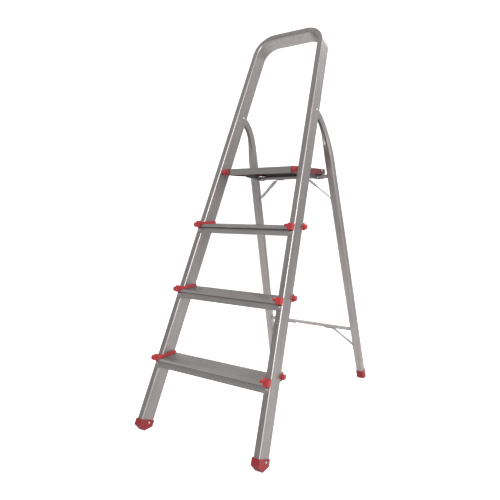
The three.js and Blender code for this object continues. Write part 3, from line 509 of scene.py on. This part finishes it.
def crossbar(name, height):
    half = leg_inner(height) + BAR_INTO_LEG
    section = rounded_rectangle(BAR_SIZE, BAR_SIZE, BAR_CORNER)
    mesh = bmesh.new()
    prism(mesh, [(y, height + z) for y, z in section], -half, half)
    piece(f"{name}_crossbar", mesh, REAR, BAR_METAL)


def strip_line(spec, round_steps=5, bend_radius=5):
    """(x, z) down a brace: a tab under the bar, a diagonal and a tab on the leg, with soft bends."""
    face = spec["bar"] - BAR_SIZE / 2 - GAP - STRIP / 2
    leg = [(leg_inner(z) - GAP - STRIP / 2, z) for z in (spec["leg_top"], spec["leg_end"])]
    corners = [Vector((spec["rivet"] - BEYOND_RIVET, face)), Vector((spec["bend"], face))]
    corners += [Vector(point) for point in leg]
    line = [corners[0]]
    for before, here, after in zip(corners, corners[1:], corners[2:]):
        into, out = (here - before).normalized(), (after - here).normalized()
        for i in range(round_steps + 1):
            t = i / round_steps
            a = here - into * bend_radius * (1 - t)
            line.append(a.lerp(here + out * bend_radius * t, t))
    line.append(corners[-1])
    return line


def refine(line, longest=4):
    """The same line with points at most so far apart."""
    fine = [line[0]]
    for a, b in zip(line, line[1:]):
        count = max(1, math.ceil((b - a).length / longest))
        fine += [a.lerp(b, i / count) for i in range(1, count + 1)]
    return fine


def brace(name, level, spec, side, width, fold=0.0, turn=0.0, tab_turn=0.0, tab_length=0.0):
    """A pressed strip between two tabs: creased along its middle, or turned, more so at its start."""
    line = refine(strip_line(spec))
    total = sum((b - a).length for a, b in zip(line, line[1:]))
    free_start = spec["bend"] - spec["rivet"] + BEYOND_RIVET
    free_end = total - (spec["leg_top"] - spec["leg_end"])
    mesh = bmesh.new()
    rings, run = [], 0.0
    for i, here in enumerate(line):
        run += (here - line[i - 1]).length if i else 0
        ahead = (line[min(i + 1, len(line) - 1)] - line[max(i - 1, 0)]).normalized()
        up = Vector((-ahead.y, ahead.x)) * -1
        free = smooth(run, free_start, free_start + TURN_IN)
        free *= 1 - smooth(run, free_end - TURN_OUT, free_end)
        tab = 1 - smooth(run, free_start + tab_length - TAB_EASE, free_start + tab_length + TAB_EASE)
        angle = side * free * (turn + (tab_turn - turn) * tab)
        upper, lower = [], []
        for k in range(-4, 5):
            across, crease = width / 2 * k / 4, fold * free * (1 - abs(k) / 4)
            for rim, offset in ((upper, STRIP / 2), (lower, -STRIP / 2)):
                y = across * math.cos(angle) - (crease + offset) * math.sin(angle)
                lift = across * math.sin(angle) + (crease + offset) * math.cos(angle)
                rim.append((side * (here.x + up.x * lift), side * y, here.y + up.y * lift))
        rings.append(upper + lower[::-1])
    sweep(mesh, rings)
    piece(f"{level}_brace_{name}", mesh, REAR, STRIP_METAL, STRIP_EDGE)


# ---------------------------------------------------------------- pieces that keep the CAD's shape

def kept(node, material, bevel, steps=2, extra=None):
    mesh = from_cad(node)
    if extra:
        extra(mesh)
    return piece(node, mesh, Matrix.Identity(4), material, bevel, steps)


def tread_cap(number, name, side):
    """The cap, with its round nub redrawn as a turned button with a dished end."""
    node = f"tread_{number}_cap_{name}"
    low, high = (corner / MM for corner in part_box(node))
    out = low.x if side < 0 else high.x
    places = [vertex.co / MM for vertex in frame["nodes"][node].data.vertices]
    end = [place for place in places if abs(place.x - out) < GAP]
    centre = sum(end, Vector()) / len(end)
    skin = 0.15
    profile = [(0, NUB_RADIUS + skin), (NUB_OUT - 2.6, NUB_RADIUS + skin),
               (NUB_OUT - 1.3, NUB_RADIUS - 0.3), (NUB_OUT - 0.4, NUB_RADIUS - 1.3),
               (NUB_OUT + 0.1, NUB_RADIUS - 2.8), (NUB_OUT - 0.1, NUB_RADIUS - 3.6),
               (NUB_OUT - 0.5, NUB_RADIUS - 4.4)]
    start = Vector((out - side * NUB_OUT, centre.y, centre.z))
    kept(node, RED, CAP_EDGE, 3, lambda mesh: turned(mesh, profile, start, (side, 0, 0), 40))


def platform_side(name, side):
    """The moulding, with the round boss it turns on redrawn smooth."""
    centre = JOINT_AT["platform_fold"] + Vector((side * BOSS_FROM, 0, 0))
    skin = 0.12
    length = BOSS_TO - BOSS_FROM
    profile = [(0, BOSS_RADIUS + BOSS_COLLAR), (BOSS_COLLAR, BOSS_RADIUS + 1),
               (BOSS_COLLAR + 1, BOSS_RADIUS + skin), (length - 1, BOSS_RADIUS + skin),
               (length + 0.1, BOSS_RADIUS - 1), (length + 0.1, 5)]
    made = kept(f"platform_side_{name}", SHADED_RED, SIDE_EDGE, 3,
                lambda mesh: turned(mesh, profile, centre, (side, 0, 0), 48))
    # Painted shade: the side's body takes the darker copy of the red and its boss the lit red, though both
    # are one moulding.
    made.data.materials.append(RED)
    for face in made.data.polygons:
        face.material_index = int(abs(face.center.x) > (BOSS_FROM + BOSS_COLLAR) * MM)


def lower_rear_lip(mesh):
    """The deck's rear lip, drawn down until it hides the top of the crossbar."""
    rear = max(vertex.co.y for vertex in mesh.verts)
    lip = [vertex for vertex in mesh.verts if vertex.co.y > rear - DECK_WALL - GAP]
    low = min(vertex.co.z for vertex in lip)
    for vertex in lip:
        if vertex.co.z < low + DECK_WALL:
            vertex.co.z -= LIP_DROP


def link(name):
    """Flat bar with round ends and a hole in each."""
    node = f"link_{name}"
    low, high = (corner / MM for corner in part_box(node))
    rear = Vector((JOINT_AT[f"{node}_fold"].y, JOINT_AT[f"{node}_fold"].z))
    pin_low, pin_high = (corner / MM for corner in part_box(f"link_pin_{name}"))
    front = Vector(((pin_low.y + pin_high.y) / 2, (pin_low.z + pin_high.z) / 2))
    along = math.degrees(math.atan2(rear.y - front.y, rear.x - front.x))
    outline = (arc(rear, LINK_ROUND, along - 90, along + 90, 16)
               + arc(front, LINK_ROUND, along + 90, along + 270, 16))
    holes = [arc(centre, LINK_HOLE, 0, 345, 23) for centre in (front, rear)]
    mesh = bmesh.new()
    plate(mesh, [outline] + holes, low.x, high.x)
    piece(node, mesh, Matrix.Identity(4), ZINC, PLATE_EDGE)


def rivet(node, group, direction, head=RIVET_HEAD, shank=RIVET_SHANK, clinched=False):
    """A domed fastener in the place of the CAD's, head against its direction."""
    low, high = (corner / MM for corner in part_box(node))
    inverse = group.inverted()
    centre = inverse @ ((low + high) / 2)
    aim = Vector(direction)
    reach = length_along(node, group, aim) - (2 if clinched else 1) * RIVET_DOME
    start = centre - aim * (reach if clinched else reach - RIVET_DOME) / 2
    rim = [(0.35, head), (0.35, shank)]
    profile = dome(head, RIVET_DOME) + rim + [(reach, shank)]
    if clinched:
        tail = [(reach - along, radius) for along, radius in reversed(dome(head, RIVET_DOME))]
        profile = dome(head, RIVET_DOME) + rim + [(reach - 0.35, shank), (reach - 0.35, head)] + tail
    mesh = bmesh.new()
    turned(mesh, profile, start, aim)
    piece(node, mesh, group, BRIGHT)


def length_along(node, group, aim):
    """Length of a CAD node along a direction of its group."""
    inverse = group.inverted()
    runs = [(inverse @ (vertex.co / MM)).dot(aim) for vertex in frame["nodes"][node].data.vertices]
    return max(runs) - min(runs)


# ---------------------------------------------------------------- assembly

def build_front():
    front_frame()
    for name, side in SIDES:
        kept(f"front_foot_{name}", FOOT_RED, FOOT_EDGE, 3)
        rivet(f"front_foot_rivet_{name}", FRONT, (side, 0, 0), FOOT_RIVET_HEAD, RIVET_SHANK, True)
        rivet(f"top_pivot_rivet_{name}", FRONT, (-side, 0, 0), PIN_HEAD, PIN_SHANK, True)
    for number in (1, 2, 3):
        kept(f"tread_{number}", TREAD_METAL, SHEET_EDGE)
        for name, side in SIDES:
            tread_cap(number, name, side)
            rivet(f"tread_{number}_rivet_{name}", FRONT, (0, 1, 0))


def build_platform():
    kept("platform_deck", DECK_METAL, SHEET_EDGE, extra=lower_rear_lip)
    for name, side in SIDES:
        platform_side(name, side)
        kept(f"platform_pivot_pin_{name}", ZINC, PIN_EDGE)
        kept(f"platform_catch_{name}", CATCH_METAL, PLATE_EDGE)
        rivet(f"link_pin_{name}", PLATFORM, (-side, 0, 0), PIN_HEAD, PIN_SHANK)
        rivet(f"platform_catch_rivet_{name}", PLATFORM, (-side, 0, 0))
        link(name)


def build_rear():
    crossbar("lower", LOWER_BAR)
    crossbar("upper", UPPER_BAR)
    for name, side in SIDES:
        rear_leg(name, side)
        rear_foot(name, side)
        kept(f"link_bracket_{name}", ZINC, PLATE_EDGE)
        rivet(f"link_bolt_{name}", REAR, (side, 0, 0), PIN_HEAD, BOLT_SHANK, True)
        rivet(f"link_bracket_bolt_{name}", REAR, (0, 0, 1))
        brace(name, "lower", LOWER_BRACE, side, LOWER_BRACE_WIDTH, fold=BRACE_CREASE)
        brace(name, "upper", UPPER_BRACE, side, UPPER_BRACE_WIDTH, turn=BRACE_TURN,
              tab_turn=BRACE_TAB_TURN, tab_length=BRACE_TAB_LENGTH)
        for level in ("lower", "upper"):
            rivet(f"{level}_brace_bar_rivet_{name}", REAR, (0, 0, 1))
            rivet(f"{level}_brace_leg_rivet_{name}", REAR, (side, 0, 0))


build_front()
build_platform()
build_rear()


# ---------------------------------------------------------------- studio

def floor():
    mesh = bmesh.new()
    bmesh.ops.create_grid(mesh, x_segments=4, y_segments=4, size=FLOOR_SIZE)
    data = bpy.data.meshes.new("studio_floor")
    mesh.to_mesh(data)
    mesh.free()
    shader = Shader(bpy.data.materials.new("pale_floor"))
    place = shader.add("ShaderNodeTexCoord", 3)
    # Painted light: the floor's colour is paler in a pool round one place and turns greyer further away.
    far = shader.add("ShaderNodeVectorMath", 1, operation="DISTANCE", inputs={0: place, 1: LIGHT_POOL_PLACE})
    tone = shader.math("MULTIPLY", shader.ranged(far, *LIGHT_POOL_TONES, *LIGHT_POOL_RADII),
                       shader.ranged(shader.noise(place, 3.0), 0.97, 1.03))
    glow = shader.math("MULTIPLY", shader.add("ShaderNodeLightPath", 0), FLOOR_GLOW)
    data.materials.append(shader.finish(Base_Color=shader.scaled((1, 1, 1, 1), tone), Roughness=0.9,
                                        Emission_Color=(1, 1, 1, 1), Emission_Strength=glow))
    ground = bpy.data.objects.new("studio_floor", data)
    bpy.context.scene.collection.objects.link(ground)
    ground.location.z = -FLOOR_BELOW


def lobe(shader, view, direction, inner, outer):
    """1 towards a direction, falling to 0 between two angles in degrees."""
    aim = Vector(direction).normalized()
    near = shader.add("ShaderNodeVectorMath", 1, operation="DOT_PRODUCT", inputs={0: view, 1: aim})
    return shader.add("ShaderNodeMapRange", interpolation_type="SMOOTHSTEP", inputs={
        "Value": near, "From Min": math.cos(math.radians(outer)), "From Max": math.cos(math.radians(inner)),
        "To Min": 0.0, "To Max": 1.0})


def studio_sky():
    """White to the camera; what the metal mirrors is lighter and darker by direction."""
    world = bpy.data.worlds.new("studio")
    bpy.context.scene.world = world
    shader = Shader(world)
    view = shader.add("ShaderNodeTexCoord", 0)
    seen = shader.add("ShaderNodeLightPath", 0)
    soft = shader.add("ShaderNodeLightPath", 2)
    mirrored = SKY_LEVEL
    for direction, inner, outer, gain in SKY_LOBES:
        part = shader.math("MULTIPLY", lobe(shader, view, direction, inner, outer), gain)
        mirrored = shader.math("ADD", mirrored, part)
    plain = shader.math("MAXIMUM", seen, shader.math("MULTIPLY", soft, SKY_ON_DULL))
    level = shader.math("MAXIMUM", mirrored, plain)
    light = shader.add("ShaderNodeBackground", inputs={"Color": (1, 1, 1, 1), "Strength": level})
    shader.add("ShaderNodeOutputWorld", inputs={"Surface": light})


def softbox(name, direction, distance, size, power):
    data = bpy.data.lights.new(name, "AREA")
    data.size = size
    data.energy = power
    lamp = bpy.data.objects.new(name, data)
    aim = Vector(direction).normalized()
    lamp.location = Vector((0, 0, LIGHTS_AIM)) + aim * distance
    lamp.rotation_mode = "QUATERNION"
    lamp.rotation_quaternion = aim.to_track_quat("Z", "Y")
    bpy.context.scene.collection.objects.link(lamp)


def camera():
    """Stands to the right in front of the ladder, a little above half its height."""
    data = bpy.data.cameras.new("camera")
    data.lens, data.sensor_width = CAMERA_LENS, CAMERA_SENSOR
    made = bpy.data.objects.new("camera", data)
    made.location = (CAMERA_RIGHT, FRONT_Y * MM - CAMERA_FRONT, CAMERA_HEIGHT)
    made.rotation_euler = [math.radians(turn) for turn in (90 - CAMERA_DOWN, CAMERA_ROLL, CAMERA_LEFT)]
    bpy.context.scene.collection.objects.link(made)
    bpy.context.scene.camera = made


floor()
studio_sky()
for light in LIGHTS:
    softbox(*light)
camera()
bpy.context.scene.view_settings.view_transform = "Standard"
